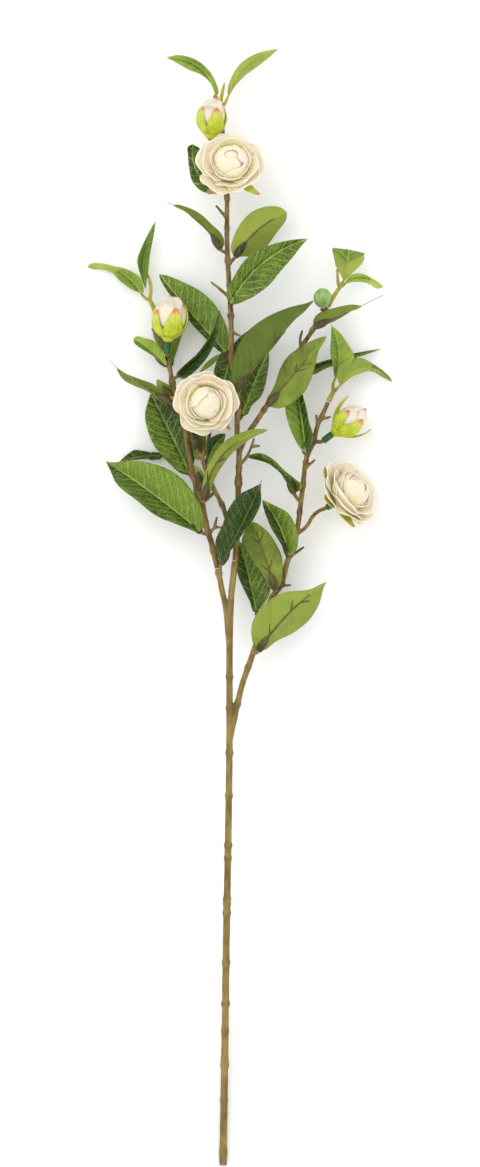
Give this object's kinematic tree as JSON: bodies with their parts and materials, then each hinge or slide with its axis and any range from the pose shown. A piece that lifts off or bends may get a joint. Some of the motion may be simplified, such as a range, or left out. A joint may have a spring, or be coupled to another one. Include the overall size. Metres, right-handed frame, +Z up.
{
  "type": "artificial camellia spray",
  "caption": "Artificial camellia spray on a long forked stem with leafy branches, open blooms and closed buds, made to lie on a surface or stand in a vase.",
  "frame": {"origin": "middle of the underside of the box round the spray, on the surface that it lies on", "axes": "+Y along the stem from its cut end to the tip sprig, +Z up from the surface, +X to the right seen from above"},
  "size_m": [0.2438, 0.892, 0.0708],
  "materials": {
    "stem_plastic": "khaki moulded plastic with a fine fibrous grain",
    "steel_wire": "plain drawn wire",
    "branch_plastic": "brown moulded plastic with bark grain",
    "leaf_fabric": "printed fabric, green with pale veins above and lighter below, with an olive plastic rib and socket",
    "young_leaf_fabric": "printed fabric on a yellow-green plastic stem",
    "petal_fabric": "cream-white satin fabric with fine pleats and yellow-green depths",
    "sepal_plastic": "lime soft plastic with orange tips",
    "sleeve_plastic": "dark green plastic",
    "bud_plastic": "green soft plastic"
  },
  "bodies": {
    "root": {"stem": "stem_plastic", "stem_wire": "steel_wire", "branch_center": "branch_plastic", "branch_left": "branch_plastic", "branch_right": "branch_plastic", "leaf_center_1": "leaf_fabric", "leaf_center_2": "leaf_fabric", "leaf_center_3": "leaf_fabric", "leaf_center_4": "leaf_fabric", "leaf_center_5": "leaf_fabric", "leaf_center_6": "leaf_fabric", "leaf_center_7": "leaf_fabric", "leaf_center_8": "leaf_fabric", "leaf_center_9": "leaf_fabric", "leaf_center_10": "leaf_fabric", "leaf_upper_1": "leaf_fabric", "leaf_upper_2": "leaf_fabric", "leaf_upper_3": "leaf_fabric", "leaf_left_1": "leaf_fabric", "leaf_left_2": "leaf_fabric", "leaf_left_3": "leaf_fabric", "leaf_left_4": "leaf_fabric", "leaf_left_5": "leaf_fabric", "leaf_left_6": "leaf_fabric", "leaf_left_7": "leaf_fabric", "leaf_left_8": "leaf_fabric", "leaf_twig_1": "leaf_fabric", "leaf_twig_2": "leaf_fabric", "leaf_twig_3": "leaf_fabric", "leaf_twig_4": "leaf_fabric", "leaf_right_1": "leaf_fabric", "leaf_right_2": "leaf_fabric", "leaf_right_3": "leaf_fabric", "leaf_right_4": "leaf_fabric", "leaf_right_5": "leaf_fabric", "leaf_right_6": "leaf_fabric", "sprig_top": "young_leaf_fabric", "sprig_left": "young_leaf_fabric", "sprig_upper": "young_leaf_fabric", "sprig_right": "young_leaf_fabric", "bloom_1_petals": "petal_fabric", "bloom_1_calyx": "sepal_plastic", "bloom_2_petals": "petal_fabric", "bloom_2_calyx": "sepal_plastic", "bloom_3_petals": "petal_fabric", "bloom_3_calyx": "sepal_plastic", "bloom_3_sleeve": "sleeve_plastic", "bud_1_petals": "petal_fabric", "bud_1_calyx": "sepal_plastic", "bud_2_petals": "petal_fabric", "bud_2_calyx": "sepal_plastic", "bud_2_sleeve": "sleeve_plastic", "bud_3_petals": "petal_fabric", "bud_3_calyx": "sepal_plastic", "bud_3_sleeve": "sleeve_plastic", "bud_small": "bud_plastic"}
  },
  "joints": []
}
